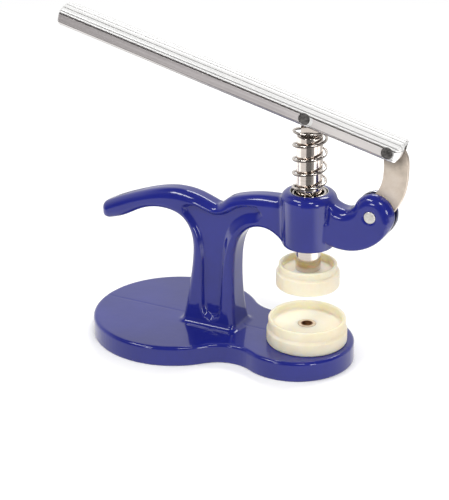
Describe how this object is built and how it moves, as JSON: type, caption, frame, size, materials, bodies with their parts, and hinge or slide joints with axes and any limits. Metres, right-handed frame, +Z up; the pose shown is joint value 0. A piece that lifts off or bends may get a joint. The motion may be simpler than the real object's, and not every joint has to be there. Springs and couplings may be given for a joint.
{
  "type": "watch case press",
  "caption": "Bench press with a keyhole base, horned column, sprung plunger and long ribbed lever on a side link, holding two cream nylon dies with brass inserts.",
  "frame": {"origin": "on the plunger's axis, at the underside of the base", "axes": "+Z up, along the plunger; +X towards the nose that carries the link; the lever's long end points to -X"},
  "size_m": [0.1932, 0.091, 0.1747],
  "materials": {
    "blue_powder_coat": "glossy cobalt blue powder coat over a casting",
    "ribbed_aluminium": "extruded, bright ribbed crown and brushed sides",
    "nickel_plate": "bright nickel plate",
    "spring_steel": "polished plated wire",
    "link_steel": "satin stamped steel",
    "dark_pin_steel": "ground, darkened steel",
    "bright_pin_steel": "ground bright steel",
    "ivory_nylon": "turned cream nylon, faintly translucent",
    "brass": "turned brass with an M6 thread",
    "screw_steel": "zinc-plated steel"
  },
  "bodies": {
    "frame": {"frame_casting": "blue_powder_coat", "nose_pin": "bright_pin_steel", "base_screw": "screw_steel", "return_spring": "spring_steel"},
    "plunger": {"plunger": "nickel_plate", "upper_die_stud": "screw_steel"},
    "handle": {"handle": "ribbed_aluminium", "plunger_pin": "dark_pin_steel", "handle_link_pin": "dark_pin_steel"},
    "link": {"link_plate": "link_steel"},
    "upper_die": {"upper_die": "ivory_nylon", "upper_die_insert": "brass"},
    "lower_die": {"lower_die": "ivory_nylon", "lower_die_insert": "brass"}
  },
  "joints": [
    {"name": "plunger_slide", "type": "slide", "parent": "frame", "child": "plunger", "axis": [0, 0, -1], "range_m": [0, 0.017], "stiffness_N_per_m": 800, "springref_m": -0.01, "deforming": ["return_spring"]},
    {"name": "handle_hinge", "type": "hinge", "parent": "plunger", "child": "handle", "pos_m": [0, 0, 0.1334], "axis": [0, 1, 0], "range_deg": [-21.6, 0.1]},
    {"name": "link_hinge", "type": "hinge", "parent": "handle", "child": "link", "pos_m": [0.04334, 0, 0.12259], "axis": [0, 1, 0], "range_deg": [-0.1, 24.1]},
    {"name": "upper_die_turn", "type": "hinge", "parent": "plunger", "child": "upper_die", "pos_m": [0, 0, 0.051], "axis": [0, 0, 1], "continuous": true},
    {"name": "lower_die_turn", "type": "hinge", "parent": "frame", "child": "lower_die", "pos_m": [0, 0, 0.0106], "axis": [0, 0, 1], "continuous": true}
  ],
  "couplings": [
    {"joint": "handle_hinge", "follows": "plunger_slide", "rad_per_m": -22.005},
    {"joint": "link_hinge", "follows": "plunger_slide", "rad_per_m": 24.53}
  ]
}
